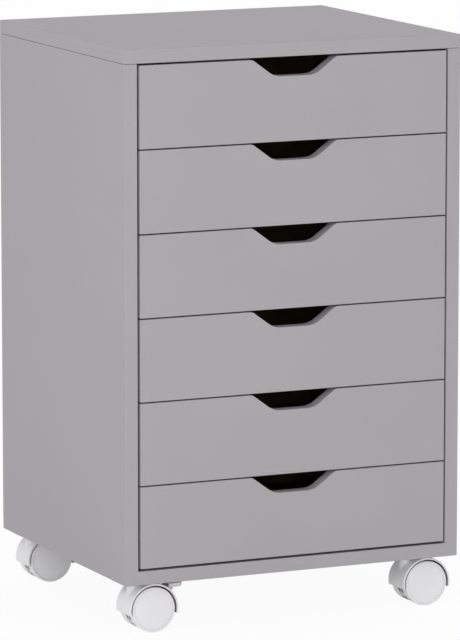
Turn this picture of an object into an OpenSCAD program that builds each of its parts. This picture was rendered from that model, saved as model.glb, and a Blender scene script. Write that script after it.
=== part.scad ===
/* [Cabinet] */
// Width of the carcass
cab_w = 400; // [340:1:600]
// Depth of the carcass, front edge to rear edge
cab_d = 350; // [300:1:500]
// Height of the carcass without its casters
cab_h = 580; // [520:1:800]
// Thickness of the carcass boards and drawer fronts
board_t = 15; // [15:0.5:19]
// Thickness of the hardboard back
back_t = 3; // [2.5:0.5:5]
// Distance of the back from the rear edges of the boards
back_inset = 10; // [6:1:20]
// Depth of the grooves that hold the back
back_groove = 6; // [4:0.5:8]
// Play of a thin panel in its groove, on each face
panel_play = 0.2; // [0.1:0.05:0.4]

/* [Drawers] */
// Gap between the top board and the highest drawer front
gap_top = 2.2; // [1.5:0.1:3]
// Gap between the lowest drawer front and the bottom board
gap_low = 2.6; // [1.5:0.1:3]
// Gap between the left side board and the drawer fronts
gap_left = 2.8; // [1.5:0.1:3]
// Gap between the drawer fronts and the right side board
gap_right = 2.1; // [1.5:0.1:3]
// Gap between one drawer front and the next
row_gap = 1.5; // [0.8:0.1:3]
// Thickness of the drawer sides and drawer back
box_t = 12; // [12:0.5:15]
// Height of the drawer sides
box_h = 66; // [55:1:68]
// Height of the drawer sides' lower edge over the front's lower edge
box_rise = 6; // [4:0.5:8]
// Clear space between a shut drawer and the cabinet's back
box_back_room = 14; // [6:1:40]
// Thickness of a drawer's bottom sheet
base_t = 3; // [2.5:0.5:4]
// Height of the bottom sheet over the sides' lower edge
base_rise = 6; // [5:0.5:8]
// Depth of the grooves that hold the bottom sheet
base_groove = 5; // [3:0.5:5]

/* [Hand cut-outs] */
// Width of the cut-out between the corners at its top
grip_w = 100; // [80:1:140]
// Width of the cut-out between the corners at its bottom
grip_flat = 48; // [30:1:60]
// Depth of the cut-out below the front's upper edge
grip_depth = 19; // [12:0.5:24]
// Radius of the two upper corners
grip_top_r = 8; // [3:0.5:10]
// Radius of the two lower corners
grip_low_r = 25; // [6:1:30]

/* [Runners] */
// Height of a runner
rail_h = 10; // [8:0.5:14]
// Gap between a drawer side and the carcass side
rail_air = 2; // [2:0.1:3]
// How far a runner reaches into the drawer side
rail_bite = 6.2; // [4:0.1:7]
// Play of a runner in its groove
rail_play = 0.3; // [0.2:0.05:0.6]
// Height of a runner's lower edge over the drawer sides' lower edge
rail_rise = 28; // [24:1:34]
// Distance of a runner's two screws from its ends
rail_screw_inset = 100; // [70:1:130]

/* [Casters] */
// Height of a caster from the floor to the carcass
caster_h = 57; // [56:0.5:70]
// Diameter of the wheels
wheel_dia = 50; // [46:1:51]
// Width of each of the two wheels
wheel_w = 11.6; // [10:0.2:13]
// Gap between the two wheels of a caster
wheel_split = 13.2; // [13:0.2:16]
// Distance between the wheel axle and the swivel axis
trail = 17.5; // [14.5:0.5:18]
// Swivel axis of the left casters from the left side
pin_left = 22.5; // [20:0.5:60]
// Swivel axis of the right casters from the right side
pin_right = 47.5; // [20:0.5:60]
// Swivel axes of the front casters from the front edge
pin_front = 33.5; // [25:0.5:60]
// Swivel axes of the rear casters from the rear edge
pin_rear = 28.5; // [25:0.5:60]
// Wall of the plastic hood over the wheels
hood_t = 2; // [1.6:0.1:3]
// Gap between the hood and the wheels
hood_air = 1.7; // [0.8:0.1:1.8]
// Gap between a wheel and the hood's side, and between a wheel and the neck
side_air = 0.6; // [0.4:0.1:1]
// Thickness of the web between the wheels
web_t = 5; // [4:0.5:6]
// How far the web's free edge stays inside the treads
web_low_inset = 1.5; // [1:0.5:4]
// Diameter of the hood's neck above the wheels
neck_dia = 12; // [12:0.5:18]
// Wall of the neck around the swivel pin, between the wheels
neck_t = 2.4; // [1.8:0.1:2.5]
// Gap between the neck and the steel plate
plate_air = 0.3; // [0.2:0.1:0.6]
// Wall of the wheels' hubs
hub_t = 3; // [2:0.5:4]
// Width of the wheels' rims
rim_t = 3; // [2.5:0.5:5]
// Radius of the rounding round a wheel's rim
rim_round = 1.2; // [0.6:0.1:1.2]
// How far a wheel's disc is set in at its edge, and how far it rises again to its middle
disc_step = 0.8; // [0.4:0.1:1]
// Thickness of the wheels' faces
face_t = 3; // [2:0.5:4]
// Diameter of the steel wheel axle
axle_dia = 4; // [3:0.5:5]
// Diameter of the steel swivel pin
pin_dia = 7; // [6:0.5:8]
// Side of the square steel plate
plate_w = 38; // [34:1:44]
// Thickness of the steel plate
plate_t = 2; // [1.5:0.5:2.5]
// Distance between the plate's screw holes
plate_pitch = 28; // [26:1:30]
// Width of the brake pedal
pedal_w = 18; // [14:1:22]
// Gap on each side of the brake pedal in its opening
pedal_air = 0.5; // [0.3:0.1:1]
// How far the brake pedal reaches from the wheel axle
pedal_reach = 40; // [38:1:44]
// Height of the brake pedal's tongue at its tip
tongue_t = 4.8; // [3:0.2:5]
// Height of the tongue's underside over the wheel axle
tongue_z = 20.8; // [20:0.1:23]
// Thickness of the brake shoe
shoe_t = 2.4; // [2:0.2:3]
// Gap between the brake shoe and the wheels while the brake is off
shoe_air = 2.4; // [2:0.1:2.6]

/* [Fittings] */
// Diameter of the carcass dowels
dowel_dia = 8; // [6:1:8]
// Length of the carcass dowels
dowel_len = 24; // [20:1:28]
// Diameter of the cam locks
cam_dia = 15; // [12:1:16]
// Depth of the cam locks in the board
cam_deep = 11; // [9:0.5:12]
// Distance of the cam locks from the board's end
cam_reach = 30; // [24:1:34]
// Diameter of the cam bolts
bolt_dia = 5; // [4:0.5:6]
// Diameter of the drawer dowels
peg_dia = 6; // [5:0.5:7]
// Length of the drawer dowels
peg_len = 20; // [16:1:20]
// Diameter of the wood screws
screw_dia = 3.5; // [3:0.5:4]
// Distance of the cam locks from the boards' front and rear edges
cam_at = 32; // [30:1:44]
// Distance of the carcass dowels from the boards' front and rear edges
dowel_at = 80; // [60:1:110]
// Clearance around glued and screwed parts
fit_air = 0.1; // [0.05:0.05:0.2]
// Running clearance around the swivel pins, wheel axles and pedal pins
run_air = 0.05; // [0.03:0.01:0.08]

/* [Hidden] */
$fn = 64;
CUT = 1;
DRAWERS = 6;
BOARD = "#ababad";
BARE = "#c9c0b2";
STEEL = "#b9bcc0";
WHITE = "#e2e1e3";

// Carcass planes, with the origin on the floor under the middle of the cabinet
x_side = cab_w / 2;
y_front = -cab_d / 2;
y_rear = cab_d / 2;
z_low = caster_h;
z_top = caster_h + cab_h;
inner_w = cab_w - 2 * board_t;
inner_h = cab_h - 2 * board_t;
y_back = y_rear - back_inset - back_t;

// Drawer rows, counted from the top
front_w = inner_w - gap_left - gap_right;
front_x = (gap_left - gap_right) / 2;
front_h = (inner_h - gap_top - gap_low - (DRAWERS - 1) * row_gap) / DRAWERS;
box_w = inner_w - 2 * rail_air;
y_box = y_front + board_t;
box_len = y_back - box_back_room - y_box;
function z_front(n) = z_top - board_t - gap_top - n * front_h - (n - 1) * row_gap;
function z_box(n) = z_front(n) + box_rise;

// Casters
wheel_r = wheel_dia / 2;
hood_in = wheel_r + hood_air;
hood_r = hood_in + hood_t;
hood_w = wheel_split + 2 * wheel_w + 2 * side_air;
neck_r = min(wheel_split / 2 - side_air, pin_dia / 2 + neck_t);
neck_top = caster_h - plate_t - plate_air - wheel_r;
pin_end = 4;
hood_front_deg = -12;
hood_rear_deg = 190;
web_rear_deg = 228;
axle_cover = 1.8;
axle_len = hood_w - 2 * side_air - 2 * axle_cover;
pivot_deg = 55;
pivot_depth = 3;
pivot_r = wheel_r - pivot_depth;
pivot_dia = 2.4;
BRAKED = ["front_left", "rear_left"];
CORNERS = ["front_left", "front_right", "rear_left", "rear_right"];
function is_left(c) = c == CORNERS[0] || c == CORNERS[2];
function is_front(c) = c == CORNERS[0] || c == CORNERS[1];
function pin_x(c) = is_left(c) ? -x_side + pin_left : x_side - pin_right;
function pin_y(c) = is_front(c) ? y_front + pin_front : y_rear - pin_rear;
function is_braked(c) = c == BRAKED[0] || c == BRAKED[1];

// Fittings
leaf = 4;
dowel_in = board_t - leaf;
bolt_in = board_t - leaf;
bolt_head = bolt_dia + 2;
blind_air = 0.3;
head_dia = screw_dia * 1.9;
// The casters' screws end short of the back's groove
screw_len = min(12, floor(board_t - back_groove + plate_t - blind_air));
rail_screw_len = 16;
rail_deep = rail_air + rail_bite;
rail_end_air = 1;
rail_len = y_back - rail_end_air - y_box - rail_play;
peg_low = base_rise + base_t + panel_play + peg_dia;
peg_high = box_h - 2 * peg_dia;
peg_side = box_t - leaf;
grip_slope = atan(grip_depth / ((grip_w - grip_flat) / 2));

DRAWER_PARTS = ["front", "sides", "back", "base", "dowels"];
CASTER_PARTS = ["hood", "axle", "near_wheel", "far_wheel"];

// A box between two corners
module slab(low, high) {
    translate(low) cube(high - low);
}

// A countersunk wood screw along +Z, its head face at the origin
module wood_screw(length, air = 0) {
    cylinder(d1 = head_dia + 2 * air, d2 = screw_dia + 2 * air, h = (head_dia - screw_dia) / 2);
    cylinder(d = screw_dia + 2 * air, h = length + (air > 0 ? blind_air : 0));
}

// ---- Carcass ----

// Every dowel or cam place of the carcass joints: the side board's end lies at the origin, in the middle
// of its thickness, and +Z points into the top or bottom board. $side is -1 on the left and 1 on the right
module at_joints(from_edge, sides = [-1, 1], tops = [false, true]) {
    for (s = sides, top = tops, y = [y_front + from_edge, y_rear - from_edge]) {
        $side = s;
        translate([s * (x_side - board_t / 2), y, top ? z_top - board_t : z_low + board_t])
            rotate([top ? 0 : 180, 0, 0]) children();
    }
}

// The cam turns in the side board, open on the inner face
module cam_cylinder(dia, deep, proud = 0) {
    translate([-$side * (board_t / 2 + proud), 0, -cam_reach])
        rotate([0, $side * 90, 0]) cylinder(d = dia, h = deep + proud);
}

module joint_holes_in_board(tops) {
    at_joints(dowel_at, tops = tops) translate([0, 0, -CUT])
        cylinder(d = dowel_dia + 2 * fit_air, h = CUT + dowel_in + blind_air);
    at_joints(cam_at, tops = tops) translate([0, 0, -CUT])
        cylinder(d = bolt_dia + 2 * fit_air, h = CUT + bolt_in + blind_air);
}

module joint_holes_in_side(s) {
    dowel_deep = dowel_len - dowel_in + blind_air;
    at_joints(dowel_at, sides = [s]) translate([0, 0, -dowel_deep])
        cylinder(d = dowel_dia + 2 * fit_air, h = dowel_deep + CUT);
    at_joints(cam_at, sides = [s]) {
        translate([0, 0, -cam_reach]) cylinder(d = bolt_head + 2 * fit_air, h = cam_reach + CUT);
        cam_cylinder(cam_dia + 2 * fit_air, cam_deep + fit_air, CUT);
    }
}

// Groove for the back in the top or bottom board, cut from the inner face at z
module back_groove_in_board(z, up) {
    low = up ? z - CUT : z - back_groove;
    translate([-inner_w / 2 - back_groove, y_back - panel_play, low])
        cube([inner_w + 2 * back_groove, back_t + 2 * panel_play, back_groove + CUT]);
}

module top_panel() {
    color(BOARD) difference() {
        slab([-x_side, y_front, z_top - board_t], [x_side, y_rear, z_top]);
        back_groove_in_board(z_top - board_t, true);
        joint_holes_in_board([true]);
    }
}

module bottom_panel() {
    color(BOARD) difference() {
        slab([-x_side, y_front, z_low], [x_side, y_rear, z_low + board_t]);
        back_groove_in_board(z_low + board_t, false);
        joint_holes_in_board([false]);
        at_plate_screws() translate([0, 0, plate_t - CUT])
            cylinder(d = screw_dia + 2 * fit_air, h = screw_len - plate_t + blind_air + CUT);
    }
}

// s is -1 for the left side and 1 for the right side
module side_panel(s) {
    color(BOARD) difference() {
        translate([s * (x_side - board_t / 2), 0, caster_h + cab_h / 2])
            cube([board_t, cab_d, inner_h], center = true);
        translate([s * (inner_w / 2 + (back_groove - CUT) / 2), y_back + back_t / 2, caster_h + cab_h / 2])
            cube([back_groove + CUT, back_t + 2 * panel_play, inner_h + 2 * CUT], center = true);
        joint_holes_in_side(s);
        at_runner_screws([s]) translate([0, 0, rail_deep - CUT])
            cylinder(d = screw_dia + 2 * fit_air, h = rail_screw_len - rail_deep + blind_air + CUT);
    }
}

module back_panel() {
    edge = back_groove - blind_air;
    color(BARE)
        slab([-inner_w / 2 - edge, y_back, z_low + board_t - edge],
             [inner_w / 2 + edge, y_back + back_t, z_top - board_t + edge]);
}

module carcass_dowels() {
    color(BARE) at_joints(dowel_at) translate([0, 0, dowel_in - dowel_len])
        cylinder(d = dowel_dia, h = dowel_len);
}

module cam_bolts() {
    head_h = 3;
    color(STEEL) at_joints(cam_at) {
        translate([0, 0, -cam_reach]) cylinder(d = bolt_dia, h = cam_reach + bolt_in);
        translate([0, 0, -cam_reach + blind_air]) cylinder(d = bolt_head, h = head_h);
    }
}

module cam_locks() {
    slot_w = 1.6;
    slot_deep = 1.5;
    color(STEEL) at_joints(cam_at) difference() {
        cam_cylinder(cam_dia, cam_deep);
        translate([0, 0, -cam_reach]) cylinder(d = bolt_head + 2 * fit_air, h = cam_dia);
        for (turn = [0, 90])
            translate([-$side * board_t / 2, 0, -cam_reach]) rotate([turn, 0, 0])
                cube([2 * slot_deep, cam_dia / 2, slot_w], center = true);
    }
}

// ---- Runners ----

// The middle of each runner's height on the carcass side, with $side set
module at_runners(sides = [-1, 1]) {
    for (s = sides, n = [1:DRAWERS]) {
        $side = s;
        translate([s * inner_w / 2, y_box + rail_play, z_box(n) + rail_rise + rail_h / 2]) children();
    }
}

// Screw heads on the runners' inner faces, with +Z pointing into the carcass side
module at_runner_screws(sides = [-1, 1]) {
    at_runners(sides)
        for (y = [rail_screw_inset, rail_len - rail_screw_inset])
            translate([-$side * rail_deep, y, 0]) rotate([0, $side * 90, 0]) children();
}

module drawer_runners() {
    color(WHITE) difference() {
        at_runners() translate([-$side * rail_deep / 2, rail_len / 2, 0])
            cube([rail_deep, rail_len, rail_h], center = true);
        at_runner_screws() wood_screw(rail_screw_len, fit_air);
    }
}

module runner_screws() {
    color(STEEL) at_runner_screws() wood_screw(rail_screw_len);
}

// ---- Drawers, numbered from the top ----

function polar(r, a) = [r * cos(a), r * sin(a)];

function arc(centre, r, from, to, steps = 10) =
    [for (i = [0:steps]) centre + polar(r, from + (to - from) * i / steps)];

// Right half of the cut-out's edge, from the front's upper edge down to the flat
function grip_half() = let (a = grip_slope, t = tan(a / 2)) concat(
    arc([grip_w / 2 + grip_top_r * t, front_h - grip_top_r], grip_top_r, 90, 90 + a),
    arc([grip_flat / 2 - grip_low_r * t, front_h - grip_depth + grip_low_r], grip_low_r, a - 90, -90)
);

function front_outline() = let (half = grip_half(), last = len(half) - 1) concat(
    [[-front_w / 2, 0], [front_w / 2, 0], [front_w / 2, front_h]],
    half,
    [for (i = [0:last]) [-half[last - i].x, half[last - i].y]],
    [[-front_w / 2, front_h]]
);

// Both drawer sides, $side being -1 or 1, at the middle of the side's thickness
module at_box_sides() {
    for (s = [-1, 1]) {
        $side = s;
        translate([s * (box_w - box_t) / 2, 0, 0]) children();
    }
}

// Dowel places between the front and the sides: the origin on the joint, +Z pointing to the rear
module at_front_pegs(n) {
    at_box_sides() for (z = [peg_low, peg_high])
        translate([0, y_box, z_box(n) + z]) rotate([-90, 0, 0]) children();
}

// Dowel places between the sides and the back: the origin on the joint, +Z pointing outwards
module at_back_pegs(n) {
    for (s = [-1, 1], z = [peg_low, peg_high])
        translate([s * (box_w / 2 - box_t), y_box + box_len - box_t / 2, z_box(n) + z])
            rotate([0, s * 90, 0]) children();
}

module peg_hole(low, high) {
    translate([0, 0, low]) cylinder(d = peg_dia + 2 * fit_air, h = high - low);
}

module base_groove_between(x, y0, y1, n) {
    z = z_box(n) + base_rise;
    slab([-x, y0, z - panel_play], [x, y1, z + base_t + panel_play]);
}

module drawer_front(n) {
    color(BOARD) difference() {
        translate([front_x, y_box, z_front(n)]) rotate([90, 0, 0])
            linear_extrude(board_t) polygon(front_outline());
        base_groove_between(box_w / 2 - box_t + base_groove, y_box - base_groove, y_box + CUT, n);
        at_front_pegs(n) peg_hole(-(peg_len / 2 + blind_air), CUT);
    }
}

module drawer_sides(n) {
    groove = rail_bite + rail_play;
    z_rail = z_box(n) + rail_rise + rail_h / 2;
    color(BARE) difference() {
        at_box_sides() translate([-box_t / 2, y_box, z_box(n)]) cube([box_t, box_len, box_h]);
        base_groove_between(box_w / 2 - box_t + base_groove, y_box - CUT, y_box + box_len + CUT, n);
        at_box_sides() translate([$side * (box_t - groove + CUT) / 2, y_box + box_len / 2, z_rail])
            cube([groove + CUT, box_len + 2 * CUT, rail_h + 2 * rail_play], center = true);
        at_front_pegs(n) peg_hole(-CUT, peg_len / 2 + blind_air);
        at_back_pegs(n) peg_hole(-CUT, peg_side + blind_air);
    }
}

module drawer_back(n) {
    x = box_w / 2 - box_t;
    y = y_box + box_len;
    color(BARE) difference() {
        slab([-x, y - box_t, z_box(n) + base_rise + base_t + panel_play], [x, y, z_box(n) + box_h]);
        at_back_pegs(n) peg_hole(-(peg_len - peg_side + blind_air), CUT);
    }
}

module drawer_base(n) {
    x = box_w / 2 - box_t + base_groove - blind_air;
    z = z_box(n) + base_rise;
    color(BARE) slab([-x, y_box - base_groove + blind_air, z], [x, y_box + box_len, z + base_t]);
}

module drawer_dowels(n) {
    color(BARE) {
        at_front_pegs(n) translate([0, 0, -peg_len / 2]) cylinder(d = peg_dia, h = peg_len);
        at_back_pegs(n) translate([0, 0, peg_side - peg_len]) cylinder(d = peg_dia, h = peg_len);
    }
}

// ---- Casters: wheel axle along Y at the origin, swivel axis at -trail ----

module at_axle(c) {
    translate([pin_x(c) + trail, pin_y(c), wheel_r]) children();
}

// Extrudes an outline drawn in X and Z along Y, over the given width about the caster's middle
module across(width) {
    rotate([90, 0, 0]) linear_extrude(width, center = true) children();
}

// Sector of a large disc between two angles under 180 degrees apart
module sector(from, to) {
    far = 4 * wheel_r;
    polygon([[0, 0], polar(far, from), polar(far, (from + to) / 2), polar(far, to)]);
}

module below_hood() {
    sector(hood_rear_deg, 280);
    sector(270, 360 + hood_front_deg);
}

module hood_shell() {
    across(hood_w) difference() {
        circle(hood_r);
        circle(hood_in);
        below_hood();
    }
}

module hood_web() {
    hub_r = axle_dia / 2 + hub_t;
    across(web_t) difference() {
        circle(hood_in + hood_t / 2);
        below_hood();
    }
    across(web_t) intersection() {
        circle(wheel_r - web_low_inset);
        sector(hood_rear_deg - 10, web_rear_deg);
    }
    across(wheel_split - 2 * blind_air) circle(hub_r);
}

// Boss for the swivel pin, slim between the wheels and stouter above them
module hood_neck() {
    translate([-trail, 0, 0]) cylinder(r = neck_r, h = neck_top);
    difference() {
        translate([-trail, 0, 0]) cylinder(d = neck_dia, h = neck_top);
        across(hood_w) circle(hood_in + hood_t / 2);
    }
}

// Opening for the brake pedal in the hood and web
module pedal_opening() {
    across(pedal_w + 2 * pedal_air) difference() {
        sector(6, 54);
        circle(wheel_r - pedal_air);
    }
    translate([pivot_r * cos(pivot_deg), 0, pivot_r * sin(pivot_deg)]) rotate([90, 0, 0])
        cylinder(d = pivot_dia + 2 * run_air, h = wheel_split, center = true);
}

module caster_hood(c) {
    color(WHITE) at_axle(c) difference() {
        union() {
            hood_shell();
            hood_web();
            hood_neck();
        }
        rotate([90, 0, 0]) cylinder(d = axle_dia + 2 * run_air, h = wheel_split + CUT, center = true);
        translate([-trail, 0, pin_end - blind_air])
            cylinder(d = pin_dia + 2 * run_air, h = neck_top);
        if (is_braked(c)) pedal_opening();
    }
}

module caster_axle(c) {
    color(STEEL) at_axle(c) rotate([90, 0, 0]) cylinder(d = axle_dia, h = axle_len, center = true);
}

// Half section of a wheel: radius against the distance from its inner face
function wheel_section() = let (
    r = wheel_r, w = wheel_w, hub = axle_dia / 2 + hub_t, bore = axle_dia / 2 + run_air,
    bore_end = (axle_len - wheel_split) / 2 + blind_air, edge = rim_round, step = disc_step,
    cap_r = r - rim_t, dome_r = (cap_r * cap_r + step * step) / (2 * step), dome_a = asin(cap_r / dome_r)
) concat(
    [[bore, 0], [hub, 0], [hub, w - face_t], [cap_r, w - face_t], [cap_r, 0], [r - edge, 0], [r, edge]],
    arc([r - edge, w - edge], edge, 0, 90, 6),
    [[cap_r + step, w], [cap_r, w - step]],
    [for (i = [1:8]) let (a = dome_a * (1 - i / 8)) [dome_r * sin(a), w - dome_r * (1 - cos(a))]],
    [[0, bore_end], [bore, bore_end]]
);

// s is -1 for the wheel nearer the front and 1 for the other
module caster_wheel(c, s) {
    color(WHITE) at_axle(c) rotate([-s * 90, 0, 0]) translate([0, 0, wheel_split / 2])
        rotate_extrude() polygon(wheel_section());
}

module brake_pedal(c) {
    cheek_air = 0.9;
    cheek_t = (wheel_split - web_t) / 2 - blind_air - cheek_air;
    cheek_r = 3;
    shoe_in = wheel_r + shoe_air;
    pivot = polar(pivot_r, pivot_deg);
    tongue_foot = 7;
    tongue_x = pivot.x + pedal_w / 2;
    tip_x = pedal_reach + CUT;
    color(WHITE) at_axle(c) {
        across(pedal_w) {
            intersection() {
                difference() {
                    circle(shoe_in + shoe_t);
                    circle(shoe_in);
                }
                sector(14, 46);
            }
        }
        intersection() {
            across(pedal_w) polygon([
                polar(shoe_in + fit_air, 34), [tongue_x + tongue_foot, tongue_z],
                [tip_x, tongue_z], [tip_x, tongue_z + tongue_t],
                [tongue_x, tongue_z + tongue_t], polar(shoe_in + shoe_t, 45)]);
            union() {
                translate([pedal_reach - pedal_w / 2, 0, 0]) cylinder(d = pedal_w, h = wheel_dia);
                translate([0, -pedal_w / 2, 0]) cube([pedal_reach - pedal_w / 2, pedal_w, wheel_dia]);
            }
        }
        for (s = [-1, 1]) translate([0, s * (web_t / 2 + blind_air + cheek_t / 2), 0]) across(cheek_t) {
            translate(pivot) circle(cheek_r);
            polygon([pivot + polar(cheek_r, pivot_deg + 90), pivot + polar(cheek_r, pivot_deg - 90),
                     polar(shoe_in + 0.5, 18), polar(shoe_in + 0.5, 45)]);
        }
        translate([pivot.x, 0, pivot.y]) rotate([90, 0, 0])
            cylinder(d = pivot_dia, h = web_t + 2 * blind_air + 2 * cheek_t, center = true);
    }
}

// Screw heads on the plates' undersides, +Z pointing up into the bottom board
module at_plate_screws() {
    for (c = CORNERS, x = [-1, 1], y = [-1, 1])
        translate([pin_x(c) + x * plate_pitch / 2, pin_y(c) + y * plate_pitch / 2, caster_h - plate_t])
            children();
}

module caster_plates() {
    corner = 3;
    color(STEEL) difference() {
        for (c = CORNERS) translate([pin_x(c), pin_y(c), 0]) {
            translate([0, 0, caster_h - plate_t]) linear_extrude(plate_t) intersection() {
                square(plate_w, center = true);
                rotate(45) square(plate_w * sqrt(2) - 2 * corner, center = true);
            }
            translate([0, 0, wheel_r + pin_end])
                cylinder(d = pin_dia, h = caster_h - plate_t - wheel_r - pin_end);
        }
        at_plate_screws() wood_screw(screw_len, fit_air);
    }
}

module caster_screws() {
    color(STEEL) at_plate_screws() wood_screw(screw_len);
}

top_panel();
bottom_panel();
side_panel(-1);  // left_side_panel
side_panel(1);  // right_side_panel
back_panel();
carcass_dowels();
cam_bolts();
cam_locks();
drawer_runners();
runner_screws();
caster_plates();
caster_screws();
for (n = [1:DRAWERS]) {
    drawer_front(n);
    drawer_sides(n);
    drawer_back(n);
    drawer_base(n);
    drawer_dowels(n);
}
for (c = CORNERS) {
    caster_hood(c);
    caster_axle(c);
    caster_wheel(c, -1);
    caster_wheel(c, 1);
}
for (c = BRAKED) {
    brake_pedal(c);
}
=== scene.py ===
import bpy
import numpy as np
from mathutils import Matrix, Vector


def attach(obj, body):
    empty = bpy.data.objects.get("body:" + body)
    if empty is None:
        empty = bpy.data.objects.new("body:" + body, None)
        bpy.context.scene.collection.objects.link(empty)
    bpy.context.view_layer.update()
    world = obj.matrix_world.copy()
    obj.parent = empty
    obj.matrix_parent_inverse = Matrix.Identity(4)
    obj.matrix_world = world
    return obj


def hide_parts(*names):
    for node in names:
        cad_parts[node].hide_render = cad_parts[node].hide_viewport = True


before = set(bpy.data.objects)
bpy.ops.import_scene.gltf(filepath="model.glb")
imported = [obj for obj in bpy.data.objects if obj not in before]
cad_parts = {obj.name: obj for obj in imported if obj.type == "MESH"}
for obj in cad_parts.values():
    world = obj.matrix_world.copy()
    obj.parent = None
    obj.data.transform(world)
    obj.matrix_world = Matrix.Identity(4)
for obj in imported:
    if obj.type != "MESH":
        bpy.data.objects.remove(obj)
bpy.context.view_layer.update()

# ---- Side boards ----
# Two upright fibreboards with sanded edges, sprayed with satin grey lacquer. They stop a hair below the
# top board, so a thin shadow line shows there. Sizes are in millimetres, and every piece is measured
# from the floor under the middle of the cabinet.
MM = 0.001
cabinet_width = 400
cabinet_depth = 350
board_thickness = 15
underside = 57
top_height = 637
edge_ease = 0.6
tight_ease = 0.02
seam_gap = 0.25
corner_radius = 0.8
corner_steps = 3
crease_angle = 40
gloss_swing = 0.05
lacquer_grey = (0.402, 0.386, 0.402, 1)

# The u, v and w directions in which a flat shape is drawn, and then carried
ALONG_Z = np.eye(3)
ALONG_X = np.array([[0, 1, 0], [0, 0, 1], [1, 0, 0]])
TO_FRONT = np.array([[1, 0, 0], [0, 0, 1], [0, -1, 0]])
TO_REAR = np.array([[1, 0, 0], [0, 0, -1], [0, 1, 0]])


def arc(centre, radius, start, stop, steps):
    """Points at equal steps of the angle a, in degrees, at centre + radius * (cos a, sin a)."""
    a = np.radians(np.linspace(start, stop, steps + 1))
    return np.array(centre) + radius * np.stack([np.cos(a), np.sin(a)], 1)


def rounded_rectangle(low, high, radii):
    """A quarter circle or, at radius 0, a point in each corner, anticlockwise from the low corner."""
    u0, v0 = low
    u1, v1 = high
    a, b, c, d = radii
    return np.concatenate([
        arc((u0 + a, v0 + a), a, 180, 270, corner_steps if a else 0),
        arc((u1 - b, v0 + b), b, 270, 360, corner_steps if b else 0),
        arc((u1 - c, v1 - c), c, 0, 90, corner_steps if c else 0),
        arc((u0 + d, v1 - d), d, 90, 180, corner_steps if d else 0),
    ])


def outward(outline):
    """Of each edge, the direction (dv, -du) / length, which points away from an anticlockwise outline."""
    edge = np.roll(outline, -1, 0) - outline
    return np.stack([edge[:, 1], -edge[:, 0]], 1) / np.linalg.norm(edge, axis=1, keepdims=True)


def inset(outline, amount):
    """Each edge moves inwards by its own amount. A corner goes to where its two moved edges cross:
    p, of which p . n = -amount holds for the outward directions n of both edges."""
    after = outward(outline)
    before = np.roll(after, 1, 0)
    amount_after = np.broadcast_to(amount, len(outline))
    amount_before = np.roll(amount_after, 1)
    turn = before[:, 0] * after[:, 1] - before[:, 1] * after[:, 0]
    u = (amount_after * before[:, 1] - amount_before * after[:, 1]) / turn
    v = (amount_before * after[:, 0] - amount_after * before[:, 0]) / turn
    return outline + np.stack([u, v], 1)


def skin(rings, close_ends=True):
    """Rows of closed loops, joined row to row by four-sided faces, with a flat face on each end loop."""
    rows, columns = rings.shape[:2]
    number = np.arange(rows * columns).reshape(rows, columns)
    here = number[:-1]
    ahead = number[1:]
    sides = np.stack([here, np.roll(here, -1, 1), np.roll(ahead, -1, 1), ahead], 2).reshape(-1, 4)
    ends = [number[:1, ::-1], number[-1:]] if close_ends else []
    return rings.reshape(-1, 3), [sides] + ends


def slab(outline, low, high, ease, ease_high=None, butted=None):
    """The outline is carried from w = low to w = high. Close to each face it draws in by
    ease * (1 - sin t) while w moves by ease * (1 - cos t), a quarter round. Edges that face within 60
    degrees of the butted direction draw in only by the tight share: another board lies against them."""
    share = 1
    if butted is not None:
        facing = outward(outline) @ np.array(butted)
        share = np.where(facing > 0.5, tight_ease / edge_ease, 1)
    t = np.radians([0, 30, 60, 90])
    last = ease if ease_high is None else ease_high
    draw_in = np.concatenate([ease * (1 - np.sin(t)), last * (1 - np.sin(t[::-1]))])
    w = np.concatenate([low + ease * (1 - np.cos(t)), high - last * (1 - np.cos(t[::-1]))])
    rings = [
        np.column_stack([inset(outline, share * amount), np.full(len(outline), height)])
        for amount, height in zip(draw_in, w)]
    return skin(np.array(rings))


def placed(shape, axes, origin=(0, 0, 0)):
    """Each point (u, v, w) goes to origin + u * first axis + v * second axis + w * third axis."""
    points, faces = shape
    return points @ axes + np.array(origin), faces


def make_piece(name, shapes, finish, bevel=0):
    """The shapes together as one object at the origin, in metres, with smooth rounds and flat faces."""
    points = np.concatenate([p for p, faces in shapes]) * MM
    first = np.cumsum([0] + [len(p) for p, faces in shapes])
    blocks = [block + start for start, (p, faces) in zip(first, shapes) for block in faces]
    mesh = bpy.data.meshes.new(name)
    mesh.from_pydata(points.tolist(), [], [face for block in blocks for face in block.tolist()])
    mesh.shade_smooth()
    mesh.materials.append(finish)
    piece = bpy.data.objects.new(name, mesh)
    bpy.context.scene.collection.objects.link(piece)
    if bevel:
        rounding = piece.modifiers.new("rounded rims", "BEVEL")
        rounding.width = bevel * MM
        rounding.segments = 2
        rounding.limit_method = "ANGLE"
        rounding.angle_limit = np.radians(crease_angle)
    else:
        mesh.set_sharp_from_angle(angle=np.radians(crease_angle))
    shading = piece.modifiers.new("flat faces", "WEIGHTED_NORMAL")
    shading.keep_sharp = True
    return piece


def wire(tree, source, output, target, entry):
    """One link from a node's output to another node's input."""
    tree.links.new(source.outputs[output], target.inputs[entry])


def new_group(name, inputs, outputs):
    """A shader group with its inputs, each a name, a kind and a value, and its outputs."""
    group = bpy.data.node_groups.new(name, "ShaderNodeTree")
    for label, kind, value in inputs:
        group.interface.new_socket(label, in_out="INPUT", socket_type=kind).default_value = value
    for label, kind in outputs:
        group.interface.new_socket(label, in_out="OUTPUT", socket_type=kind)
    return group, group.nodes.new("NodeGroupInput"), group.nodes.new("NodeGroupOutput")


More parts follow.
